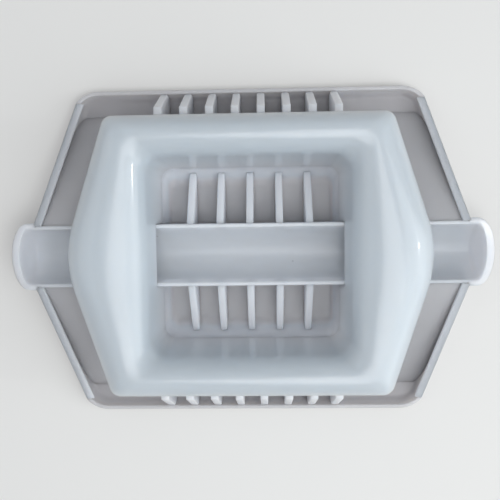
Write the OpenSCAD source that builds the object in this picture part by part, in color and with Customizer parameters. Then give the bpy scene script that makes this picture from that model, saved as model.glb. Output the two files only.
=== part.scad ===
// Developing tray: a shallow six-sided tray with a raised pouring gutter,
// and a lift-off hood with an open well that stands on the tray's ribs.
// Millimetres, +Z up. X runs from spout to spout, Y across the tray.
// The origin is on the resting plane, under the middle of the tray.

/* [Tray] */
// Length of each long side, measured to its sharp corners
side_len = 141.6; // [120:0.2:170]
// Width over the long sides
tray_w = 135.6; // [124:0.2:164]
// How far each end comes to a point beyond the long sides
point_len = 20.5; // [14:0.5:30]
// Corner radius in plan
corner_r = 13; // [9:0.5:16]
// Distance from a long side to where a pointed side meets its corner
corner_drop = 4.2; // [3:0.1:6]
// Thickness of the floor and of the end decks
floor_t = 1.6; // [1.2:0.1:3]
// Thickness of the outer wall
wall_t = 1.6; // [1.2:0.1:3]
// Rim height along the long sides
side_h = 6; // [5:0.5:10]
// Width of the lip along the pointed ends
lip_w = 3.2; // [2:0.1:5]
// Thickness of that lip
lip_t = 1.2; // [0.8:0.1:1.4]

/* [Gutter] */
// Inside radius of the half-round gutter
gutter_r = 11; // [8:0.5:14]
// Wall thickness of the gutter
gutter_t = 1.5; // [1.2:0.1:2.5]
// Height of the gutter's rims above the resting plane
rim_h = 18; // [16:0.5:24]
// How far each spout's nose runs out past its collar
nose_len = 8; // [6:0.1:12]
// Length of the collar behind the nose
collar_len = 3.2; // [2:0.1:6]
// Extra radius of the flared spout over the gutter's inside
spout_flare = 2.7; // [2:0.1:4]
// Width of the lip at the tip of the nose
nose_lip = 3.4; // [2:0.1:4.5]
// How far the lip drops at the tip, for a clean pour
nose_drop = 2.5; // [1:0.1:4]

/* [End decks] */
// Step from the gutter rim down to the high edge of a deck
deck_step = 1.5; // [1.5:0.1:4]
// Distance from the middle of the tray to the inner edge of a deck
deck_x = 48; // [44:0.5:56]
// Distance from the centre line to the low edge of a deck
deck_y = 58; // [50:0.5:62]

/* [Ribs] */
// Inner ribs on each side of the gutter
inner_ribs = 5; // [3:1:5]
// Spacing of the inner ribs
inner_pitch = 12; // [10:0.5:14]
// Thickness of the inner ribs
inner_rib_t = 2.9; // [2:0.1:4]
// Height of an inner rib at its low outer end
inner_rib_low = 3.6; // [2.5:0.1:6]
// Outer ribs on each long side
outer_ribs = 8; // [4:1:8]
// Spacing of the outer ribs
outer_pitch = 10; // [8:0.5:12]
// Thickness of the outer ribs
outer_rib_t = 3.1; // [2:0.1:4]
// Length of each outer rib's flat seat under the hood's edge
seat_len = 4; // [3:0.1:6]
// Flat seat left showing outside the hood on each outer rib
seat_show = 3.4; // [2:0.1:5]
// Drop from the side rim to the foot of an outer rib
rib_drop = 0.6; // [0.2:0.1:2]

/* [Well] */
// Inside length of the well at the floor
well_len = 72.6; // [64:0.2:78]
// Inside width of the well at the floor
well_w = 70.6; // [64:0.2:76]
// Growth of the well on each side from the bottom to its mouth
well_draft = 2.6; // [1:0.1:4]
// Height of the kerb around the floor of the well
kerb_h = 10; // [8:0.5:13]
// Running gap between the lift-off hood's funnel and the kerb
hood_gap = 0.3; // [0.2:0.05:0.6]
// Clearance of the funnel's notches around the gutter
notch_gap = 0.5; // [0.3:0.1:1]
// Width of the flare around the mouth of the well
flare = 6; // [3:0.5:6.5]

/* [Hood] */
// Length of the hood's long sides, to their sharp corners
hood_side_len = 109.4; // [100:0.2:114]
// Width over the hood's long sides
hood_w = 109; // [104:0.5:110]
// How far each end of the hood comes to a point
hood_point = 18.3; // [12:0.1:22]
// Corner radius of the hood
hood_corner_r = 5; // [3:0.5:8]
// Radius of the hood's two blunt points
hood_point_r = 45; // [20:1:60]
// Wall thickness of the hood
hood_t = 1.8; // [1.4:0.1:2.6]
// Height at which the hood stands on the outer ribs
seat_h = 22; // [20:0.5:28]
// Height of the hood's crest above its seat
crest_rise = 15; // [12:0.5:20]
// Height of the hood's upright skirt
skirt_h = 3; // [2:0.5:5]
// How far the dome draws in from the skirt to the edge of its flat crest
dome_draw = 9.2; // [7:0.1:9.4]
// Distance from the corner of the well to where the hood's ends start
end_reach = 6; // [4:0.5:10]

/* [Hidden] */
$fn = 96;

big = 400;                                    // longer than anything it cuts
spare = 1;                                    // how far a cut runs past the face it cuts
thin = 0.01;                                  // thickness of a slab that only shapes a hull
least_r = 1;                                  // smallest corner radius left after an inset
corner_steps = 8;                             // segments in a rounded corner of the hood
nose_steps = 12;                              // segments along a spout's rounded nose
dome_step = 22.5;                             // angle between the levels of the dome
tray_skin = [0.86, 0.88, 0.91];
hood_skin = [0.90, 0.93, 0.96];

half_w = tray_w / 2;
gutter_out = gutter_r + gutter_t;             // half the gutter's width over its walls
spout_r = gutter_r + spout_flare;
end_y = half_w - corner_drop;                 // a pointed side is straight out to here
corner_y = half_w - corner_r;                 // centre of a corner's arc
corner_x = end_x(end_y) - sqrt(pow(corner_r, 2) - pow(end_y - corner_y, 2));
gutter_end = end_x(gutter_out) - wall_t / 2;  // inside the wall of the pointed end
spout_x = gutter_end + collar_len;            // where the collar ends and the nose starts
deck_top = rim_h - deck_step;
crest_h = seat_h + crest_rise;
seat_in = hood_w / 2 - seat_len;              // inner end of an outer rib's seat
seat_out = hood_w / 2 + seat_show;
funnel_low = kerb_h + hood_gap;
notch_y = gutter_out + notch_gap;             // half the width of a notch in the funnel
split_x = well_len / 2 - end_reach;           // where the hood's long sides meet its ends

// ---- plan outlines ---------------------------------------------------------

// Where the outside of a pointed side lies, at a distance y from the centre line
function end_x(y) = side_len / 2 + point_len * (1 - y / half_w);

function unit(v) = v / norm(v);

// A corner moved inward by d along both of its edges
function inset_corner(a, b, c, d) =
    let (u = unit(a - b), v = unit(c - b), w = unit(u + v))
    b + w * d / sqrt((1 - u * v) / 2);

// Points of the arc that rounds corner b between edges ab and bc
function corner_arc(a, b, c, r, steps) =
    let (u = unit(a - b), v = unit(c - b), w = unit(u + v),
         half_sin = sqrt((1 - u * v) / 2), half_cos = sqrt((1 + u * v) / 2),
         o = b + w * r / half_sin,
         from = b + u * r * half_cos / half_sin - o,
         to = b + v * r * half_cos / half_sin - o,
         a0 = atan2(from.y, from.x), raw = atan2(to.y, to.x) - a0,
         sweep = raw > 180 ? raw - 360 : raw < -180 ? raw + 360 : raw)
    [for (i = [0:steps]) o + r * [cos(a0 + sweep * i / steps), sin(a0 + sweep * i / steps)]];

function inset_all(p, d) =
    let (n = len(p)) [for (i = [0:n - 1]) inset_corner(p[(i + n - 1) % n], p[i], p[(i + 1) % n], d)];

function rounded(p, radii, steps) =
    let (n = len(p))
    [for (i = [0:n - 1]) each corner_arc(p[(i + n - 1) % n], p[i], p[(i + 1) % n], radii[i], steps)];

function hexagon(side, width, point) =
    [[side / 2 + point, 0], [side / 2, width / 2], [-side / 2, width / 2],
     [-side / 2 - point, 0], [-side / 2, -width / 2], [side / 2, -width / 2]];

// Pointed sides that run straight into corners rounded towards the long sides
module tray_outline(inset = 0) {
    intersection() {
        polygon(inset_all(hexagon(side_len, tray_w, point_len), inset));
        union() {
            square([big, 2 * corner_y], center = true);
            square([2 * corner_x, tray_w - 2 * inset], center = true);
            for (x = [-corner_x, corner_x], y = [-corner_y, corner_y])
                translate([x, y]) circle(r = corner_r - inset);
        }
    }
}

module hood_outline(inset = 0) {
    c = max(hood_corner_r - inset, least_r);
    p = hood_point_r - inset;
    sharp = inset_all(hexagon(hood_side_len, hood_w, hood_point), inset);
    polygon(rounded(sharp, [p, c, c, p, c, c], corner_steps));
}

// ---- helpers ---------------------------------------------------------------

module both_ends() {
    children();
    mirror([1, 0, 0]) children();
}

module both_sides() {
    children();
    mirror([0, 1, 0]) children();
}

// Extrudes a section drawn in the YZ plane along X
module along_x(from, to) {
    translate([from, 0, 0]) rotate([90, 0, 90]) linear_extrude(to - from) children();
}

// Extrudes a section drawn in the XZ plane along Y
module along_y(from, to) {
    translate([0, to, 0]) rotate([90, 0, 0]) linear_extrude(to - from) children();
}

// ---- tray ------------------------------------------------------------------

// Space under the rim, which climbs from the long sides to the gutter
module under_rim(lowest = 0) {
    along_x(-big / 2, big / 2) polygon([
        [-half_w, lowest], [-half_w, side_h], [-end_y, side_h], [-gutter_out, rim_h],
        [gutter_out, rim_h], [end_y, side_h], [half_w, side_h], [half_w, lowest]]);
}

// The space that a spout's collar and round underside fill
module spout_clear() {
    both_ends() translate([gutter_end, 0, rim_h]) rotate([0, 90, 0]) cylinder(r = spout_r, h = big);
}

module wall_ring(inset, width) {
    linear_extrude(rim_h) difference() {
        tray_outline(inset);
        tray_outline(inset + width);
    }
}

module tray_floor() {
    color(tray_skin) both_sides() linear_extrude(floor_t) intersection() {
        tray_outline(wall_t);
        translate([-big / 2, gutter_out]) square([big, big]);
    }
}

module long_walls() {
    color(tray_skin) both_sides() translate([-corner_x, half_w - wall_t, 0])
        cube([2 * corner_x, wall_t, side_h]);
}

module corner_walls() {
    color(tray_skin) both_ends() both_sides() intersection() {
        wall_ring(0, wall_t);
        translate([corner_x, end_y, 0]) cube([big, big, side_h]);
    }
}

module end_walls_back() {
    color(tray_skin) both_ends() difference() {
        intersection() {
            wall_ring(0, wall_t);
            under_rim();
            cube([big, end_y, rim_h]);
        }
        spout_clear();
        along_x(0, gutter_end) square([gutter_out, rim_h]);
    }
}

module end_walls_front() {
    mirror([0, 1, 0]) end_walls_back();
}

module end_lips() {
    color(tray_skin) both_ends() both_sides() difference() {
        intersection() {
            wall_ring(wall_t, lip_w - wall_t);
            difference() {
                under_rim();
                translate([0, 0, -lip_t]) under_rim(-lip_t);
            }
            cube([big, end_y, rim_h]);
        }
        spout_clear();
        along_x(0, gutter_end) square([gutter_out, rim_h]);
    }
}

module end_decks() {
    drop = deck_top - floor_t;
    color(tray_skin) both_ends() both_sides() difference() {
        intersection() {
            linear_extrude(rim_h) intersection() {
                tray_outline(wall_t);
                translate([deck_x, gutter_out]) square([big, deck_y - gutter_out]);
            }
            union() {
                along_x(deck_x, big) polygon([
                    [gutter_out, deck_top - floor_t], [gutter_out, deck_top],
                    [deck_y, floor_t], [deck_y - floor_t * (deck_y - gutter_out) / drop, floor_t]]);
                along_x(deck_x, deck_x + floor_t) polygon([
                    [gutter_out, floor_t], [gutter_out, deck_top], [deck_y, floor_t]]);
            }
        }
        spout_clear();
    }
}

// Half-round gutter on two upright walls, open underneath
module gutter() {
    color(tray_skin) along_x(-gutter_end, gutter_end) difference() {
        translate([-gutter_out, 0]) square([2 * gutter_out, rim_h]);
        translate([0, rim_h]) circle(r = gutter_r);
        difference() {
            translate([-gutter_r, -spare]) square([2 * gutter_r, rim_h]);
            translate([0, rim_h]) circle(r = gutter_out);
        }
    }
}

function nose_profile(r, length, steps) =
    [[0, 0], for (i = [0:steps]) [r * cos(90 * i / steps), length * sin(90 * i / steps)]];

module nose(r, length) {
    rotate([0, 90, 0]) rotate_extrude() polygon(nose_profile(r, length, nose_steps));
}

// Flared pouring spout: a short collar and a rounded nose with a dropped lip
module spout_right() {
    fall = atan2(nose_drop, nose_len);
    color(tray_skin) translate([spout_x, 0, rim_h]) difference() {
        union() {
            nose(spout_r, nose_len);
            translate([-collar_len, 0, 0]) rotate([0, 90, 0]) cylinder(r = spout_r, h = collar_len);
        }
        nose(gutter_r, nose_len - nose_lip);
        translate([-collar_len - spare, 0, 0]) rotate([0, 90, 0])
            cylinder(r = gutter_r, h = collar_len + spare);
        translate([-big / 2, -big / 2, 0]) cube([big, big, big]);
        rotate([0, fall, 0]) translate([0, -big / 2, 0]) cube([big, big, big]);
    }
}

module spout_left() {
    mirror([1, 0, 0]) spout_right();
}

// ---- floor of the well -----------------------------------------------------

module kerb_sides() {
    color(tray_skin) both_sides() translate([-well_len / 2, well_w / 2, floor_t])
        cube([well_len, wall_t, kerb_h - floor_t]);
}

module kerb_ends() {
    color(tray_skin) both_ends() both_sides() translate([well_len / 2, gutter_out, floor_t])
        cube([wall_t, well_w / 2 + wall_t - gutter_out, kerb_h - floor_t]);
}

module inner_ribs_back() {
    color(tray_skin) for (i = [0:inner_ribs - 1]) {
        x = (i - (inner_ribs - 1) / 2) * inner_pitch;
        along_x(x - inner_rib_t / 2, x + inner_rib_t / 2) polygon([
            [gutter_out, floor_t], [gutter_out, rim_h],
            [well_w / 2, inner_rib_low], [well_w / 2, floor_t]]);
    }
}

module inner_ribs_front() {
    mirror([0, 1, 0]) inner_ribs_back();
}

module outer_ribs_back() {
    color(tray_skin) for (i = [0:outer_ribs - 1]) {
        x = (i - (outer_ribs - 1) / 2) * outer_pitch;
        along_x(x - outer_rib_t / 2, x + outer_rib_t / 2) polygon([
            [seat_in, floor_t], [seat_in, seat_h], [seat_out, seat_h],
            [half_w - wall_t, side_h - rib_drop], [half_w - wall_t, floor_t]]);
    }
}

module outer_ribs_front() {
    mirror([0, 1, 0]) outer_ribs_back();
}

// ---- hood ------------------------------------------------------------------

// Domed solid over the hood's outline, drawn inset by d
module dome(d = 0) {
    rise = crest_rise - skirt_h - d;
    hull() {
        translate([0, 0, seat_h]) linear_extrude(skirt_h) hood_outline(d);
        for (a = [dome_step:dome_step:90]) {
            translate([0, 0, seat_h + skirt_h]) linear_extrude(rise * sin(a))
                hood_outline(d + dome_draw * (1 - cos(a)));
        }
    }
}

// A thin level slab of the well's outline, grown by g on each side
module slab(g, z) {
    translate([-well_len / 2 - g, -well_w / 2 - g, z]) cube([well_len + 2 * g, well_w + 2 * g, thin]);
}

// The well's inside, grown by d, from its bottom to its flared mouth
module mouth(d) {
    neck = crest_h - flare - d * (sqrt(2) - 1);
    hull() {
        slab(d, funnel_low - spare);
        slab(d + well_draft, neck);
    }
    hull() {
        slab(d + well_draft, neck);
        slab(d + well_draft + flare + 2 * spare, neck + flare + 2 * spare);
    }
}

module hood_shell() {
    difference() {
        dome();
        difference() {
            translate([0, 0, -thin]) dome(hood_t);
            mouth(hood_t);
        }
        mouth(0);
    }
}

module hood_back() {
    color(hood_skin) intersection() {
        hood_shell();
        translate([-split_x, 0, seat_h]) cube([2 * split_x, big, crest_rise]);
    }
}

module hood_front() {
    mirror([0, 1, 0]) hood_back();
}

module hood_right() {
    color(hood_skin) intersection() {
        hood_shell();
        translate([split_x, -big / 2, seat_h]) cube([big, big, crest_rise]);
    }
}

module hood_left() {
    mirror([1, 0, 0]) hood_right();
}

// The hood's funnel, notched where it straddles the gutter
module funnel() {
    difference() {
        mouth(hood_t);
        mouth(0);
        translate([-big / 2, -big / 2, seat_h]) cube([big, big, big]);
        translate([-big / 2, -big / 2, -big + funnel_low]) cube([big, big, big]);
        translate([-big / 2, -notch_y, 0]) cube([big, 2 * notch_y, rim_h + notch_gap]);
    }
}

module funnel_sides() {
    color(hood_skin) intersection() {
        funnel();
        translate([-well_len / 2, -big / 2, 0]) cube([well_len, big, seat_h]);
    }
}

module funnel_ends() {
    color(hood_skin) both_ends() intersection() {
        funnel();
        translate([well_len / 2, -big / 2, 0]) cube([big, big, seat_h]);
    }
}

tray_floor();
long_walls();
corner_walls();
end_walls_front();
end_walls_back();
end_lips();
end_decks();
gutter();
spout_left();
spout_right();
kerb_sides();
kerb_ends();
inner_ribs_front();
inner_ribs_back();
outer_ribs_front();
outer_ribs_back();
hood_front();
hood_back();
hood_left();
hood_right();
funnel_sides();
funnel_ends();
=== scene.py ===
from math import atan2, cos, hypot, pi, radians, sin, tan
import bmesh
import bpy
from mathutils import Matrix, Vector, geometry


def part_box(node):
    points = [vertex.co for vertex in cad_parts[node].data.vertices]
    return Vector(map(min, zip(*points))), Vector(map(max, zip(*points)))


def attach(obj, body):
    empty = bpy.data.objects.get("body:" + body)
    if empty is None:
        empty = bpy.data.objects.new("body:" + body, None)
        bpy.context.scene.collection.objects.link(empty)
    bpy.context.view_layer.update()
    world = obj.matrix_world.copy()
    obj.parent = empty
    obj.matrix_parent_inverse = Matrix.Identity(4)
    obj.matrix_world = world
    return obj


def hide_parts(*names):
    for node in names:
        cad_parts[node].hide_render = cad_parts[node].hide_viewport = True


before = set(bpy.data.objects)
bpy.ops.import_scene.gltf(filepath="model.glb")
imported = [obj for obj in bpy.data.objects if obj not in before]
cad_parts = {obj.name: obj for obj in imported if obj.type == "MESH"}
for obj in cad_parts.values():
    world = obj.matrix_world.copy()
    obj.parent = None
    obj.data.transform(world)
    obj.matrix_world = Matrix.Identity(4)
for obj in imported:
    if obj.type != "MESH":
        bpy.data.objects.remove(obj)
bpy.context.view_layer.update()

mm = 0.001
weld = 0.002 * mm                          # points closer than this are one point
sameSpot = 1e-7                            # coordinates this close are the same
edgeSteps = 3                              # segments in a small rounded edge
bevelAngle = 30                            # on a rib, only edges sharper than this are rounded
mixA, mixB, mixOut = 6, 7, 2               # colour sockets of a Mix node


def low(node):
    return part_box(node)[0]


def high(node):
    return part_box(node)[1]


# sizes that several pieces share, read from the frame
floorTop = high("tray_floor").z
sideTop = high("long_walls").z
rimTop = high("gutter").z
halfWidth = high("long_walls").y
gutterHalf = high("gutter").y
collarHalf = high("spout_right").y
collarStart = high("gutter").x
noseTip = high("spout_right").x
endTip = high("end_walls_back").x          # the sharp point of the tray's end, below the spout
straightY = high("end_walls_back").y       # an end wall is straight out to here
kerbTop = high("kerb_sides").z
wallThick = floorTop
sunk = wallThick * 0.5                     # how high a part's foot stands inside the floor
wellX = high("kerb_sides").x
wellY = high("kerb_sides").y - wallThick
seatHeight = low("hood_right").z
crest = high("hood_right").z
hoodHalf = high("hood_back").y
funnelLow = low("funnel_sides").z
print("frame read: tray", round(2 * noseTip, 4), "m long, crest at", round(crest, 4), "m")


# shared modelling helpers

def faceOutwards(bm):
    # joins what a bevel left touching, then turns a closed shape right side out
    bmesh.ops.remove_doubles(bm, verts=bm.verts, dist=weld)
    bmesh.ops.dissolve_degenerate(bm, edges=bm.edges, dist=weld)
    bmesh.ops.recalc_face_normals(bm, faces=bm.faces)
    if bm.calc_volume(signed=True) < 0:
        bmesh.ops.reverse_faces(bm, faces=bm.faces)


def newPiece(name, bm, body, slotName, material, *nodes):
    mesh = bpy.data.meshes.new(name)
    faceOutwards(bm)
    bm.to_mesh(mesh)
    bm.free()
    piece = bpy.data.objects.new(name, mesh)
    bpy.context.collection.objects.link(piece)
    mesh.materials.append(material)
    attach(piece, body)
    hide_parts(*nodes)
    return piece


def applyModifiers(piece, sharpAngle):
    graph = bpy.context.evaluated_depsgraph_get()
    graph.update()
    finished = bpy.data.meshes.new_from_object(piece.evaluated_get(graph))
    piece.modifiers.clear()
    old, piece.data = piece.data, finished
    bpy.data.meshes.remove(old)
    shadeSmooth(piece, sharpAngle)


def shadeSmooth(piece, sharpAngle):
    for face in piece.data.polygons:
        face.use_smooth = True
    piece.data.set_sharp_from_angle(angle=radians(sharpAngle))


def cutAway(piece, cutter, operation="DIFFERENCE"):
    cut = piece.modifiers.new("cut", "BOOLEAN")
    cut.operation, cut.solver, cut.object = operation, "EXACT", cutter


def subdivide(piece, level):
    smooth = piece.modifiers.new("smooth", "SUBSURF")
    smooth.levels = smooth.render_levels = level


def cutterFrom(bm):
    mesh = bpy.data.meshes.new("cutter")
    faceOutwards(bm)
    bm.to_mesh(mesh)
    bm.free()
    cutter = bpy.data.objects.new("cutter", mesh)
    bpy.context.collection.objects.link(cutter)
    return cutter


def addBox(bm, lowCorner, highCorner):
    size = Vector(highCorner) - Vector(lowCorner)
    made = bmesh.ops.create_cube(bm, size=1)["verts"]
    bmesh.ops.scale(bm, vec=size, verts=made)
    bmesh.ops.translate(bm, vec=(Vector(lowCorner) + Vector(highCorner)) / 2, verts=made)
    return made


def roundedOutline(corners, steps):
    # corners are (x, y, radius); a straight corner has its half length, negative, as radius
    points = []
    for i, (x, y, radius) in enumerate(corners):
        corner = Vector((x, y))
        toLast = (Vector(corners[i - 1][:2]) - corner).normalized()
        toNext = (Vector(corners[(i + 1) % len(corners)][:2]) - corner).normalized()
        if radius < 0:
            for k in range(steps + 1):
                t = 2 * k / steps - 1
                points.append(corner + (toNext if t > 0 else toLast) * abs(t * radius))
            continue
        half = toLast.angle(toNext) / 2
        middle = corner + (toLast + toNext).normalized() * radius / sin(half)
        first = corner + toLast * radius / tan(half) - middle
        last = corner + toNext * radius / tan(half) - middle
        begin = atan2(first.y, first.x)
        sweep = (atan2(last.y, last.x) - begin + pi) % (2 * pi) - pi
        for k in range(steps + 1):
            a = begin + sweep * k / steps
            points.append(middle + Vector((cos(a), sin(a))) * radius)
    return points


def fourFold(quarter):
    # a closed outline from its quarter, which runs from the +X point to the +Y side
    half = quarter + [Vector((-p.x, p.y)) for p in reversed(quarter)]
    return half + [Vector((-p.x, -p.y)) for p in half[1:-1]]


def addRing(bm, points):
    verts = [bm.verts.new(p) for p in points]
    return [bm.edges.new((a, b)) for a, b in zip(verts, verts[1:] + verts[:1])]


def loft(bm, rings):
    loops = [addRing(bm, ring) for ring in rings]
    for a, b in zip(loops, loops[1:]):
        bmesh.ops.bridge_loops(bm, edges=a + b)
    return loops


def mirrorCopy(bm, axis):
    # adds a mirrored copy of everything
    made = bmesh.ops.duplicate(bm, geom=bm.verts[:] + bm.edges[:] + bm.faces[:])["geom"]
    flip = Vector([-1 if i == "xyz".index(axis) else 1 for i in range(3)])
    verts = [g for g in made if isinstance(g, bmesh.types.BMVert)]
    bmesh.ops.scale(bm, vec=flip, verts=verts)
    bmesh.ops.reverse_faces(bm, faces=[g for g in made if isinstance(g, bmesh.types.BMFace)])


def extrudedProfile(bm, points, along):
    # a closed outline given as 3-D points, pushed along a vector into a solid
    face = bmesh.ops.contextual_create(bm, geom=addRing(bm, points))["faces"][0]
    grown = bmesh.ops.extrude_face_region(bm, geom=[face])["geom"]
    bmesh.ops.translate(bm, vec=along, verts=[g for g in grown if isinstance(g, bmesh.types.BMVert)])


def roundEdges(bm, edges, radius, segments):
    bmesh.ops.bevel(bm, geom=edges, offset=radius, offset_type="OFFSET", segments=segments,
                    profile=0.5, affect="EDGES", clamp_overlap=True, material=-1)


# plastics

plasticDetail = {
    "ior": 1.49, "milkRadius": (1.0, 0.92, 0.85),
    "cloudDetail": 3, "cloudFrom": 0.3, "cloudTo": 0.7,
    "speckEdge": 1.7, "speckShade": 0.82,           # how far a speck fades out, and how dark it is
    "scuffDetail": 6, "scuffRoughness": 0.65, "scuffFrom": 0.3, "scuffTo": 0.75,
    "skinDetail": 2, "skinDepth": 0.4 * mm,
}


def milkyPlastic(name, look):
    material = bpy.data.materials.new(name)
    material.use_nodes = True
    nodes, links = material.node_tree.nodes, material.node_tree.links
    shader = nodes["Principled BSDF"]
    shader.inputs["Subsurface Weight"].default_value = look["milk"]
    shader.inputs["Subsurface Radius"].default_value = plasticDetail["milkRadius"]
    shader.inputs["Subsurface Scale"].default_value = look["depth"]
    shader.inputs["IOR"].default_value = plasticDetail["ior"]
    shader.inputs["Specular IOR Level"].default_value = look["shine"]
    shader.inputs["Coat Weight"].default_value = look["coat"]
    shader.inputs["Coat Roughness"].default_value = look["coatRoughness"]
    place = nodes.new("ShaderNodeTexCoord")

    # uneven milkiness of the moulding, a few centimetres across
    cloud = nodes.new("ShaderNodeTexNoise")
    cloud.inputs["Scale"].default_value = look["cloudScale"]
    cloud.inputs["Detail"].default_value = plasticDetail["cloudDetail"]
    links.new(place.outputs["Object"], cloud.inputs["Vector"])
    tone = nodes.new("ShaderNodeValToRGB")
    darker, lighter = tone.color_ramp.elements
    darker.position, lighter.position = plasticDetail["cloudFrom"], plasticDetail["cloudTo"]
    darker.color = (*look["shade"], 1)
    lighter.color = (*look["colour"], 1)
    links.new(cloud.outputs["Fac"], tone.inputs["Fac"])

    # low down, the surface is painted another colour by its height: on the tray a painted shade with the
    # bench's colour painted in as if seen through the plastic, in the well and on the hood a painted
    # lighter glow
    split = nodes.new("ShaderNodeSeparateXYZ")
    links.new(place.outputs["Object"], split.inputs["Vector"])
    paintedLowShare = nodes.new("ShaderNodeMapRange")
    paintedLowShare.interpolation_type = "SMOOTHSTEP"
    paintedLowShare.inputs["From Min"].default_value = look["paintedLowFrom"]
    paintedLowShare.inputs["From Max"].default_value = look["paintedLowTo"]
    links.new(split.outputs["Z"], paintedLowShare.inputs["Value"])
    paintedLowMix = nodes.new("ShaderNodeMix")
    paintedLowMix.data_type = "RGBA"
    paintedLowMix.inputs[mixA].default_value = (*look["paintedLowColour"], 1)
    links.new(paintedLowShare.outputs["Result"], paintedLowMix.inputs[0])
    links.new(tone.outputs["Color"], paintedLowMix.inputs[mixB])

    # a few dust specks
    dust = nodes.new("ShaderNodeTexVoronoi")
    dust.inputs["Scale"].default_value = look["dustScale"]
    links.new(place.outputs["Object"], dust.inputs["Vector"])
    speck = nodes.new("ShaderNodeMapRange")
    speck.inputs["From Min"].default_value = look["dustSize"]
    speck.inputs["From Max"].default_value = look["dustSize"] * plasticDetail["speckEdge"]
    speck.inputs["To Min"].default_value = plasticDetail["speckShade"]
    links.new(dust.outputs["Distance"], speck.inputs["Value"])
    dusty = nodes.new("ShaderNodeMix")
    dusty.data_type, dusty.blend_type = "RGBA", "MULTIPLY"
    dusty.inputs[0].default_value = 1
    links.new(paintedLowMix.outputs[mixOut], dusty.inputs[mixA])
    links.new(speck.outputs["Result"], dusty.inputs[mixB])
    links.new(dusty.outputs[mixOut], shader.inputs["Base Color"])

    # gloss broken by handling, in patches and fine scuffs
    scuff = nodes.new("ShaderNodeTexNoise")
    scuff.inputs["Scale"].default_value = look["scuffScale"]
    scuff.inputs["Detail"].default_value = plasticDetail["scuffDetail"]
    scuff.inputs["Roughness"].default_value = plasticDetail["scuffRoughness"]
    links.new(place.outputs["Object"], scuff.inputs["Vector"])
    gloss = nodes.new("ShaderNodeMapRange")
    gloss.inputs["From Min"].default_value = plasticDetail["scuffFrom"]
    gloss.inputs["From Max"].default_value = plasticDetail["scuffTo"]
    gloss.inputs["To Min"].default_value = look["roughness"] - look["scuff"]
    gloss.inputs["To Max"].default_value = look["roughness"] + look["scuff"]
    links.new(scuff.outputs["Fac"], gloss.inputs["Value"])
    links.new(gloss.outputs["Result"], shader.inputs["Roughness"])

    # faint texture of the mould's skin
    skin = nodes.new("ShaderNodeTexNoise")
    skin.inputs["Scale"].default_value = look["skinScale"]
    skin.inputs["Detail"].default_value = plasticDetail["skinDetail"]
    links.new(place.outputs["Object"], skin.inputs["Vector"])
    bump = nodes.new("ShaderNodeBump")
    bump.inputs["Strength"].default_value = look["skin"]
    bump.inputs["Distance"].default_value = plasticDetail["skinDepth"]
    links.new(skin.outputs["Fac"], bump.inputs["Height"])
    links.new(bump.outputs["Normal"], shader.inputs["Normal"])
    return material


# low down, the tray is painted darker and faintly warm: painted shade with the bench's colour painted in
trayLook = {
    "colour": (0.70, 0.725, 0.77), "shade": (0.685, 0.71, 0.755), "paintedLowColour": (0.47, 0.445, 0.455),
    "paintedLowFrom": 0.0013, "paintedLowTo": 0.0034,
    "milk": 0.9, "depth": 0.009, "coat": 0.2, "coatRoughness": 0.15, "shine": 0.5,
    "roughness": 0.44, "scuff": 0.04, "scuffScale": 60, "cloudScale": 16,
    "skinScale": 900, "skin": 0.03, "dustScale": 60, "dustSize": 0.018,
}
# low down, on the funnel, the hood is painted lighter: a painted glow
hoodLook = {
    "colour": (0.57, 0.635, 0.685), "shade": (0.56, 0.625, 0.675), "paintedLowColour": (0.66, 0.68, 0.71),
    "paintedLowFrom": 0.008, "paintedLowTo": 0.026,
    "milk": 0.9, "depth": 0.009, "coat": 0.55, "coatRoughness": 0.09, "shine": 0.75,
    "roughness": 0.36, "scuff": 0.025, "scuffScale": 40, "cloudScale": 12,
    "skinScale": 500, "skin": 0.012, "dustScale": 45, "dustSize": 0.012,
}
# shell and decks are painted darker than the plastic, a painted shade; the well's floor is painted
# lighter and pinker low down, a painted glow with the bench's colour painted in
deckPaintedShadeLook = {**trayLook, "colour": (0.52, 0.505, 0.515), "shade": (0.50, 0.485, 0.495)}
shellPaintedShadeLook = {**trayLook, "colour": (0.565, 0.56, 0.575), "shade": (0.55, 0.545, 0.56)}
wellPaintedGlowLook = {**trayLook, "paintedLowColour": (0.86, 0.75, 0.73)}
trayPlastic = milkyPlastic("frostedTrayPlastic", trayLook)
shellPaintedShadePlastic = milkyPlastic("shellPlasticWithPaintedShade", shellPaintedShadeLook)
deckPaintedShadePlastic = milkyPlastic("deckPlasticWithPaintedShade", deckPaintedShadeLook)
wellPaintedGlowPlastic = milkyPlastic("wellPlasticWithPaintedGlow", wellPaintedGlowLook)
hoodPlastic = milkyPlastic("glossyHoodPlastic", hoodLook)
print("plastics made")


# tray shell: floor, outer walls and rounded corners in one skin

trayShape = {
    "side": 70.8 * mm, "cornerRadius": 13 * mm,
    "cove": 3.2 * mm,                      # fillet between the floor and the wall
    "rimRound": 0.45 * mm, "footRound": 0.5 * mm,
    "arcSteps": 14, "roundSteps": 4, "coveSteps": 7,
    "collarBack": 0.1 * mm, "collarBite": 0.4 * mm, "collarSteps": 64,   # the round hole for each spout
    "sharp": 28,
}
endPoint = endTip - trayShape["side"]
endLean = hypot(endPoint, halfWidth) / halfWidth      # stretches an inset along X


def rimHeight(y):
    # the rim climbs along the pointed ends, from the long sides to the gutter
    t = (straightY - abs(y)) / (straightY - gutterHalf)
    return sideTop + (rimTop - sideTop) * min(1, max(0, t))


def pointedSide(inset, y):
    # a point on an end wall's line, this far in from the outside
    return Vector((endTip - inset * endLean - endPoint * abs(y) / halfWidth, y))


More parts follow.
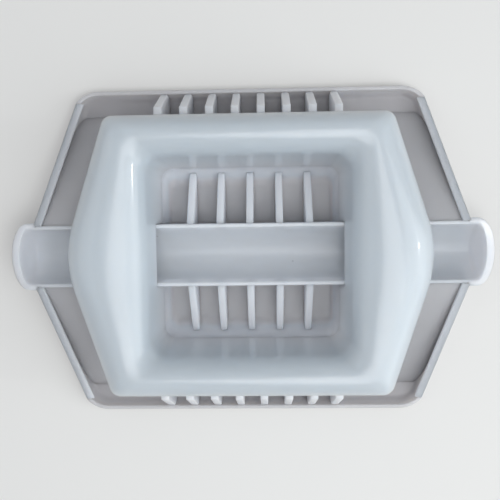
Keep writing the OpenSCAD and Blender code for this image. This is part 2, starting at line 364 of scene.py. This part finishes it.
def trayRing(inset, height):
    # each pointed side runs straight to a kink, where the corner's arc takes over
    radius = trayShape["cornerRadius"]
    centreY = halfWidth - radius
    reach = (radius ** 2 - (straightY - centreY) ** 2) ** 0.5
    centre = Vector((pointedSide(0, straightY).x - reach, centreY))
    meets = geometry.intersect_line_sphere_2d(pointedSide(inset, 0), pointedSide(inset, halfWidth),
                                              centre, radius - inset, False)
    kink = max(meets, key=lambda p: p.y)
    start = atan2(kink.y - centreY, kink.x - centre.x)
    quarter = [pointedSide(inset, 0), pointedSide(inset, gutterHalf)]
    for k in range(trayShape["arcSteps"] + 1):
        a = start + (pi / 2 - start) * k / trayShape["arcSteps"]
        quarter.append(centre + Vector((cos(a), sin(a))) * (radius - inset))
    return [Vector((p.x, p.y, height(p.y) if callable(height) else height)) for p in fourFold(quarter)]


def quarterTurn(steps):
    return [pi / 2 * k / steps for k in range(steps + 1)]


def makeTrayShell():
    foot, lip, cove = trayShape["footRound"], trayShape["rimRound"], trayShape["cove"]
    turn = quarterTurn(trayShape["roundSteps"])
    rings = [trayRing(foot * (1 - sin(a)), foot * (1 - cos(a))) for a in turn]
    for a in turn:
        rings.append(trayRing(lip * (1 - cos(a)), lambda y, a=a: rimHeight(y) - lip * (1 - sin(a))))
    for a in turn:
        rings.append(trayRing(wallThick - lip * (1 - sin(a)),
                              lambda y, a=a: rimHeight(y) - lip * (1 - cos(a))))
    for a in quarterTurn(trayShape["coveSteps"]):
        rings.append(trayRing(wallThick + cove * (1 - cos(a)), floorTop + cove * (1 - sin(a))))
    bm = bmesh.new()
    loops = loft(bm, rings)
    for loop in (loops[0], loops[-1]):
        bmesh.ops.contextual_create(bm, geom=loop)
    shell = newPiece("trayShell", bm, "tray", "tray_plastic", shellPaintedShadePlastic,
                     "tray_floor", "long_walls", "corner_walls", "end_walls_front", "end_walls_back")

    cut = bmesh.new()
    slot = gutterHalf - wallThick / 2
    addBox(cut, (-collarStart, -slot, -wallThick), (collarStart, slot, 2 * rimTop))
    slotCutter = cutterFrom(cut)
    cut = bmesh.new()
    length = noseTip - collarStart + wallThick
    radius = collarHalf - trayShape["collarBite"]
    for side in (-1, 1):
        along = side * (collarStart - trayShape["collarBack"] + length / 2)
        place = Matrix.Translation((along, 0, rimTop)) @ Matrix.Rotation(pi / 2, 4, "Y")
        bmesh.ops.create_cone(cut, cap_ends=True, segments=trayShape["collarSteps"], depth=length,
                              radius1=radius, radius2=radius, matrix=place)
    collarCutter = cutterFrom(cut)
    cutAway(shell, slotCutter)
    cutAway(shell, collarCutter)
    applyModifiers(shell, trayShape["sharp"])
    bpy.data.objects.remove(slotCutter)
    bpy.data.objects.remove(collarCutter)


makeTrayShell()
print("tray shell made")


# lips: the flat bands along the pointed ends

lipShape = {
    "start": 0.06 * mm, "width": 3.3 * mm, "thick": 1.2 * mm, "round": 0.5 * mm, "end": 0.4 * mm,
    "rise": 0.12 * mm,                     # covers the wall's own rim
    "into": 0.2 * mm,                      # reaches into the gutter's wall
    "sharp": 35,
}


def makeLips():
    bm = bmesh.new()
    outer, inner = lipShape["start"], lipShape["width"]
    near, far = gutterHalf - lipShape["into"], straightY - lipShape["end"]
    under = lipShape["rise"] - lipShape["thick"]
    points = []
    for inset, y in ((outer, near), (outer, far), (inner, far - lipShape["end"]), (inner, near)):
        points.append(pointedSide(inset, y).to_3d() + Vector((0, 0, rimHeight(y) + under)))
    extrudedProfile(bm, points, (0, 0, lipShape["thick"]))
    roundEdges(bm, bm.edges[:], lipShape["round"], edgeSteps)
    mirrorCopy(bm, "y")
    mirrorCopy(bm, "x")
    lips = newPiece("endLips", bm, "tray", "tray_plastic", trayPlastic, "end_lips")
    shadeSmooth(lips, lipShape["sharp"])


makeLips()


# decks: sloping plates that drain to the long sides

deckShape = {
    "inner": 48 * mm, "wall": 1.2 * mm, "round": 0.5 * mm,
    "lift": 0.8 * mm,                      # the high edge comes close under the gutter's rim
    "proud": 0.06 * mm,                    # the riser stands clear of the plate's edge
    "into": 0.3 * mm,                      # reaches into the gutter's wall
    "sharp": 35,
}


def makeDecks():
    bm = bmesh.new()
    top, foot = high("end_decks").z + deckShape["lift"], high("end_decks").y
    start = deckShape["inner"]
    near = gutterHalf - deckShape["into"]
    wall = deckShape["wall"]
    points = [Vector((start, near, top)), pointedSide(wall, near).to_3d() + Vector((0, 0, top)),
              pointedSide(wall, foot).to_3d() + Vector((0, 0, floorTop)), Vector((start, foot, floorTop))]
    extrudedProfile(bm, points, (0, 0, -floorTop))
    roundEdges(bm, bm.edges[:], deckShape["round"], edgeSteps)
    proud, under = start - deckShape["proud"], deckShape["round"]
    riser = [Vector((proud, near, sunk)), Vector((proud, near, top - under)),
             Vector((proud, foot, floorTop - under)), Vector((proud, foot, sunk))]
    extrudedProfile(bm, riser, (floorTop, 0, 0))
    mirrorCopy(bm, "y")
    mirrorCopy(bm, "x")
    decks = newPiece("endDecks", bm, "tray", "tray_plastic", deckPaintedShadePlastic, "end_decks")
    shadeSmooth(decks, deckShape["sharp"])


makeDecks()
print("lips and decks made")


# gutter: half-round trough with a flared spout at each end

gutterShape = {
    "wall": 1.5 * mm, "rimRound": 0.5 * mm, "noseRound": 1.3 * mm,
    "collar": 3.2 * mm, "noseLip": 3.4 * mm, "drop": 2.5 * mm, "blend": 0.6 * mm,
    "wallDrop": 1.2 * mm, "wallInset": 0.02 * mm,
    "noseSteps": 24, "bowlSteps": 12, "rimSteps": 4,
    "bowlEnd": 0.6,                        # the rings stop this far short of the middle, in steps
    "sharp": 42,
}


def troughRing(half, sink, flare, nose, noseSink):
    # a closed outline round the trough, sunk below the rim by sink, or at the noses by noseSink
    blend = collarStart + gutterShape["blend"]
    straight = collarStart + gutterShape["collar"]
    steps = gutterShape["noseSteps"] // 2
    quarter = [Vector((straight + nose * cos(a), flare * sin(a))) for a in quarterTurn(steps)]
    quarter += [Vector((blend, flare)), Vector((blend - 2 * gutterShape["blend"], half))]
    ring = []
    for p in fourFold(quarter):
        fall = gutterShape["drop"] * max(0, abs(p.x) - straight) / (noseTip - straight)
        depth = noseSink if abs(p.x) > collarStart else sink
        ring.append(Vector((p.x, p.y, rimTop - max(depth, fall))))
    return ring


def makeTrough():
    inside, outside = gutterHalf - gutterShape["wall"], gutterHalf
    noseOut = noseTip - collarStart - gutterShape["collar"]
    noseIn = noseOut - gutterShape["noseLip"]
    steps = gutterShape["bowlSteps"]
    rim, tip = gutterShape["rimRound"], gutterShape["noseRound"]
    bowl = [pi / 2 * k / (steps + gutterShape["bowlEnd"]) for k in range(1, steps + 1)]
    rings = []
    for a in reversed(bowl):
        deep = inside * sin(a)
        rings.append(troughRing(inside * cos(a), deep, inside * cos(a), noseIn * cos(a), deep))
    for a in quarterTurn(gutterShape["rimSteps"]):
        grow, sink = 1 - cos(a), 1 - sin(a)
        rings.append(troughRing(inside + rim * grow, rim * sink,
                                inside + tip * grow, noseIn + tip * grow, tip * sink))
    for a in quarterTurn(gutterShape["rimSteps"]):
        grow, sink = 1 - sin(a), 1 - cos(a)
        rings.append(troughRing(outside - rim * grow, rim * sink,
                                collarHalf - tip * grow, noseOut - tip * grow, tip * sink))
    for a in bowl:
        rings.append(troughRing(outside * cos(a), outside * sin(a),
                                collarHalf * cos(a), noseOut * cos(a), collarHalf * sin(a)))
    bm = bmesh.new()
    loops = loft(bm, rings)
    for loop in (loops[0], loops[-1]):
        bmesh.ops.contextual_create(bm, geom=loop)
    trough = newPiece("gutterTrough", bm, "tray", "tray_plastic", trayPlastic,
                      "gutter", "spout_left", "spout_right")
    # the two upright walls that carry it join it under its rims
    walls = bmesh.new()
    addBox(walls, (-collarStart, gutterHalf - gutterShape["wall"], 0),
           (collarStart, gutterHalf - gutterShape["wallInset"], rimTop - gutterShape["wallDrop"]))
    mirrorCopy(walls, "y")
    wallMaker = cutterFrom(walls)
    cutAway(trough, wallMaker, "UNION")
    applyModifiers(trough, gutterShape["sharp"])
    bpy.data.objects.remove(wallMaker)


makeTrough()
print("gutter and spouts made")


# floor of the well: kerb with a cove

kerbShape = {
    "coveX": 3 * mm, "coveY": 7.6 * mm, "into": 0.5 * mm, "lean": 0.1 * mm,
    "cornerRadius": 5 * mm, "leastRadius": 1.5 * mm, "round": 0.3 * mm,
    "footShare": 0.6,                      # of the floor's thickness, where the kerb starts
    "coveLift": 0.06 * mm,                 # keeps the cove clear of the floor's own face
    "arcSteps": 8, "coveSteps": 12, "sharp": 40,
}


def wellRing(growX, growY, radius, height):
    x, y = wellX + growX, wellY + growY
    corners = [(x, y, radius), (-x, y, radius), (-x, -y, radius), (x, -y, radius)]
    return [Vector((p.x, p.y, height)) for p in roundedOutline(corners, kerbShape["arcSteps"])]


def makeKerb():
    soft, radius = kerbShape["round"], kerbShape["cornerRadius"]
    innerTop = kerbTop - kerbShape["lean"]     # level loops of one height would bridge across the well
    rings = [wellRing(wallThick, wallThick, radius + wallThick, floorTop * kerbShape["footShare"])]
    for a in quarterTurn(edgeSteps):
        grow = wallThick - soft * (1 - cos(a))
        rings.append(wellRing(grow, grow, radius + grow, kerbTop - soft * (1 - sin(a))))
    for a in quarterTurn(edgeSteps):
        grow = soft * (1 - sin(a))
        rings.append(wellRing(grow, grow, radius, innerTop - soft * (1 - cos(a))))
    deep = innerTop - soft - floorTop
    for a in quarterTurn(kerbShape["coveSteps"])[1:]:
        shrink = cos(a) - 1
        rings.append(wellRing(kerbShape["coveX"] * shrink, kerbShape["coveY"] * shrink,
                              max(radius + kerbShape["coveX"] * shrink, kerbShape["leastRadius"]),
                              floorTop + kerbShape["coveLift"] + deep * (1 - sin(a))))
    bm = bmesh.new()
    loops = loft(bm, rings)
    for loop in (loops[0], loops[-1]):
        bmesh.ops.contextual_create(bm, geom=loop)
    # the gutter's walls close each basin, so the middle is cut away
    everything = bm.verts[:] + bm.edges[:] + bm.faces[:]
    bmesh.ops.bisect_plane(bm, geom=everything, plane_co=(0, gutterHalf - kerbShape["into"], 0),
                           plane_no=(0, 1, 0), clear_inner=True)
    bmesh.ops.contextual_create(bm, geom=[e for e in bm.edges if e.is_boundary])
    mirrorCopy(bm, "y")
    kerb = newPiece("wellKerb", bm, "tray", "tray_plastic", wellPaintedGlowPlastic, "kerb_sides", "kerb_ends")
    shadeSmooth(kerb, kerbShape["sharp"])


makeKerb()
print("kerb made")


# ribs

innerRibShape = {
    "count": 5, "pitch": 12 * mm, "thick": 2.9 * mm, "low": 3.6 * mm, "round": 0.6 * mm,
    "into": 1.3 * mm, "topDrop": 0.35 * mm,     # the high end is sunk into the gutter's wall
    "sharp": 35,
}
outerRibShape = {
    "count": 8, "pitch": 10 * mm, "thick": 3.1 * mm, "round": 0.5 * mm, "endRound": 1.2 * mm,
    "seatShow": 3.4 * mm, "footDrop": 0.6 * mm, "endSteps": 5, "sharp": 35,
}


def ribRow(name, shape, outline, side, node):
    bm = bmesh.new()
    for i in range(shape["count"]):
        x = (i - (shape["count"] - 1) / 2) * shape["pitch"] - shape["thick"] / 2
        single = bmesh.new()
        extrudedProfile(single, [Vector((x, y * side, z)) for y, z in outline], (shape["thick"], 0, 0))
        faceOutwards(single)
        far = max(y for y, z in outline)
        tip = [e for e in single.edges if all(abs(abs(v.co.y) - far) < sameSpot for v in e.verts)
               and abs(e.verts[0].co.z - e.verts[1].co.z) > sameSpot]
        if "endRound" in shape:
            roundEdges(single, tip, shape["endRound"], shape["endSteps"])
        sharp = [e for e in single.edges if e.calc_face_angle(0) > radians(bevelAngle)]
        roundEdges(single, sharp, shape["round"], edgeSteps)
        part = bpy.data.meshes.new("rib")
        single.to_mesh(part)
        single.free()
        bm.from_mesh(part)
        bpy.data.meshes.remove(part)
    ribs = newPiece(name, bm, "tray", "tray_plastic", trayPlastic, node)
    shadeSmooth(ribs, shape["sharp"])


def makeRibs():
    start, top = gutterHalf - innerRibShape["into"], rimTop - innerRibShape["topDrop"]
    inner = [(start, sunk), (start, top), (wellY, innerRibShape["low"]), (wellY, sunk)]
    seatIn = low("outer_ribs_back").y
    seatOut = hoodHalf + outerRibShape["seatShow"]
    foot = high("outer_ribs_back").y
    outer = [(seatIn, sunk), (seatIn, seatHeight), (seatOut, seatHeight),
             (foot, sideTop - outerRibShape["footDrop"]), (foot, sunk)]
    for side, word in ((-1, "front"), (1, "back")):
        ribRow("innerRibs" + word.title(), innerRibShape, inner, side, "inner_ribs_" + word)
        ribRow("outerRibs" + word.title(), outerRibShape, outer, side, "outer_ribs_" + word)


makeRibs()
print("ribs made")


# hood: domed frame, its mouth and the funnel

hoodShape = {
    "side": 54.7 * mm, "point": 18.3 * mm, "cornerRadius": 4.5 * mm, "pointRadius": 45 * mm,
    "wall": 1.8 * mm, "skirt": 2.6 * mm, "neck": 26.5 * mm,
    "squareness": 2.05,                    # 2 is a plain ellipse, more is boxier
    "mouthGrow": 2.6 * mm, "mouthRadius": 7 * mm, "funnelRadius": 5 * mm,
    "notchGap": 0.2 * mm, "footDrop": 0.22 * mm,
    "footGap": 0.12 * mm,                  # the funnel's foot is cut level, this far over the kerb
    "endShare": 0.25,                      # straight part of a mouth's end, each side of its middle
    "rimHeight": 0.4 * mm,                 # upright strip at the skirt's lower edge
    "domeSteps": 14, "arcSteps": 8, "funnelSteps": 4, "sharp": 40,
}


def mouthOutline(grow, radius):
    x, y = wellX + grow, wellY + grow
    middle = -y * hoodShape["endShare"]
    return roundedOutline([(x, 0, middle), (x, y, radius), (-x, y, radius),
                           (-x, 0, middle), (-x, -y, radius), (x, -y, radius)], hoodShape["arcSteps"])


def hoodRing(share, height):
    # share runs from the outer edge, 0, to the mouth, 1
    side, tip = hoodShape["side"], hoodShape["side"] + hoodShape["point"]
    blunt, corner = hoodShape["pointRadius"], hoodShape["cornerRadius"]
    outer = roundedOutline([(tip, 0, blunt), (side, hoodHalf, corner), (-side, hoodHalf, corner),
                            (-tip, 0, blunt), (-side, -hoodHalf, corner), (side, -hoodHalf, corner)],
                           hoodShape["arcSteps"])
    inner = mouthOutline(hoodShape["mouthGrow"], hoodShape["mouthRadius"])
    return [(a.lerp(b, share)).to_3d() + Vector((0, 0, height)) for a, b in zip(outer, inner)]


def funnelRing(grow, height):
    share = grow / hoodShape["mouthGrow"]
    radius = hoodShape["funnelRadius"] + (hoodShape["mouthRadius"] - hoodShape["funnelRadius"]) * share
    return [p.to_3d() + Vector((0, 0, height)) for p in mouthOutline(grow, radius)]


def makeHood():
    power = 2 / hoodShape["squareness"]
    edge, neck = seatHeight + hoodShape["skirt"], hoodShape["neck"]
    rings = [hoodRing(0, seatHeight), hoodRing(0, seatHeight + hoodShape["rimHeight"])]
    for k in range(hoodShape["domeSteps"] + 1):
        a = pi * k / hoodShape["domeSteps"]
        swing = abs(cos(a)) ** power * (1 if cos(a) > 0 else -1)
        share = (1 - swing) / 2
        start = edge + (neck - edge) * share
        rings.append(hoodRing(share, start + (crest - start) * max(0, sin(a)) ** power))
    steps = hoodShape["funnelSteps"]
    funnelFoot = funnelLow - hoodShape["footDrop"]
    for k in range(1, steps + 1):
        t = k / steps
        rings.append(funnelRing(hoodShape["mouthGrow"] * (1 - t), neck + (funnelFoot - neck) * t))
    bm = bmesh.new()
    loft(bm, rings)
    bmesh.ops.recalc_face_normals(bm, faces=bm.faces)
    if sum(f.normal.z * f.calc_area() for f in bm.faces) < 0:
        bmesh.ops.reverse_faces(bm, faces=bm.faces)
    mesh = bpy.data.meshes.new("hoodShell")
    bm.to_mesh(mesh)
    bm.free()
    hood = bpy.data.objects.new("hoodShell", mesh)
    bpy.context.collection.objects.link(hood)
    mesh.materials.append(hoodPlastic)
    subdivide(hood, 1)
    shell = hood.modifiers.new("wall", "SOLIDIFY")
    shell.thickness, shell.offset, shell.use_even_offset = hoodShape["wall"], -1, True
    cut = bmesh.new()
    notch = gutterHalf + hoodShape["notchGap"]
    addBox(cut, (-2 * wellX, -notch, 0), (2 * wellX, notch, rimTop + hoodShape["notchGap"]))
    notchCutter = cutterFrom(cut)
    cut = bmesh.new()
    addBox(cut, (-2 * wellX, -2 * wellY, 0), (2 * wellX, 2 * wellY, kerbTop + hoodShape["footGap"]))
    footCutter = cutterFrom(cut)
    cutAway(hood, notchCutter)
    cutAway(hood, footCutter)
    applyModifiers(hood, hoodShape["sharp"])
    bpy.data.objects.remove(notchCutter)
    bpy.data.objects.remove(footCutter)
    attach(hood, "hood")
    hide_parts("hood_front", "hood_back", "hood_left", "hood_right", "funnel_sides", "funnel_ends")


makeHood()
print("hood made")


# stage, lights and camera

floorLook = {
    "seen": (0.80, 0.79, 0.77), "lit": (0.30, 0.25, 0.22), "roughness": 0.9, "shine": 0.1, "size": 3,
}


def plainMaterial(name, seen, lit):
    # the floor looks pale, and throws back less light than it shows
    material = bpy.data.materials.new(name)
    material.use_nodes = True
    nodes, links = material.node_tree.nodes, material.node_tree.links
    shader = nodes["Principled BSDF"]
    shader.inputs["Roughness"].default_value = floorLook["roughness"]
    shader.inputs["Specular IOR Level"].default_value = floorLook["shine"]
    rays = nodes.new("ShaderNodeLightPath")
    shown = nodes.new("ShaderNodeMath")
    shown.operation = "MAXIMUM"
    links.new(rays.outputs["Is Camera Ray"], shown.inputs[0])
    links.new(rays.outputs["Is Glossy Ray"], shown.inputs[1])
    through = nodes.new("ShaderNodeMath")
    through.operation = "MAXIMUM"
    links.new(shown.outputs[0], through.inputs[0])
    links.new(rays.outputs["Is Transmission Ray"], through.inputs[1])
    mix = nodes.new("ShaderNodeMix")
    mix.data_type = "RGBA"
    mix.inputs[mixA].default_value, mix.inputs[mixB].default_value = (*lit, 1), (*seen, 1)
    links.new(through.outputs[0], mix.inputs[0])
    links.new(mix.outputs[mixOut], shader.inputs["Base Color"])
    return material


def makeFloor():
    bm = bmesh.new()
    bmesh.ops.create_grid(bm, x_segments=1, y_segments=1, size=floorLook["size"])
    mesh = bpy.data.meshes.new("floor")
    bm.to_mesh(mesh)
    bm.free()
    floor = bpy.data.objects.new("floor", mesh)
    bpy.context.collection.objects.link(floor)
    mesh.materials.append(plainMaterial("paleFloor", floorLook["seen"], floorLook["lit"]))


# places and sizes in metres, power in watts
lamps = {
    "window": {"place": (1.02, -0.30, 0.60), "aim": (0, 0, 0.03), "size": (1.1, 1.5),
               "power": 9.4, "colour": (0.93, 0.98, 1.0)},
    "softBox": {"place": (0.10, -0.12, 0.60), "aim": (0, 0, 0), "size": (0.4, 0.4),
                "power": 1.25, "colour": (1.0, 1.0, 1.0)},
    "fill": {"place": (-0.75, 0.1, 0.55), "aim": (0, 0, 0.03), "size": (0.7, 0.7),
             "power": 0.8, "colour": (0.96, 0.98, 1.0)},
    "smallLamp": {"place": (0.9, -0.02, 0.52), "aim": (0, 0, 0.03), "size": (0.03, 0.03),
                  "power": 0.4, "colour": (1.0, 1.0, 1.0)},
}
studioSky = {"colour": (0.93, 0.96, 1.0), "strength": 0.45}


def areaLight(name, setup):
    lamp = bpy.data.lights.new(name, "AREA")
    lamp.shape, lamp.energy, lamp.color = "RECTANGLE", setup["power"], setup["colour"]
    lamp.size, lamp.size_y = setup["size"]
    holder = bpy.data.objects.new(name, lamp)
    holder.location = setup["place"]
    away = Vector(setup["aim"]) - Vector(setup["place"])
    holder.rotation_euler = away.to_track_quat("-Z", "Y").to_euler()
    bpy.context.collection.objects.link(holder)


def makeLights():
    for name, setup in lamps.items():
        areaLight(name, setup)
    world = bpy.data.worlds.new("studio")
    bpy.context.scene.world = world
    world.use_nodes = True
    sky = world.node_tree.nodes["Background"]
    sky.inputs["Color"].default_value = (*studioSky["colour"], 1)
    sky.inputs["Strength"].default_value = studioSky["strength"]


cameraSetup = {
    "place": (6.2 * mm, 18.2 * mm, 233.2 * mm), "turn": (-4.364, 1.591, -0.84),
    "lens": 38.88, "sensor": 36, "near": 10 * mm,
}


def makeCamera():
    # hangs over the tray, tipped a few degrees
    camera = bpy.data.cameras.new("camera")
    camera.lens, camera.sensor_width = cameraSetup["lens"], cameraSetup["sensor"]
    camera.clip_start = cameraSetup["near"]
    holder = bpy.data.objects.new("camera", camera)
    bpy.context.collection.objects.link(holder)
    holder.rotation_euler = [radians(a) for a in cameraSetup["turn"]]
    holder.location = cameraSetup["place"]
    bpy.context.scene.camera = holder


makeFloor()
makeLights()
makeCamera()
bpy.context.scene.view_settings.view_transform = "Standard"
print("stage, lights and camera set")

bpy.context.view_layer.update()
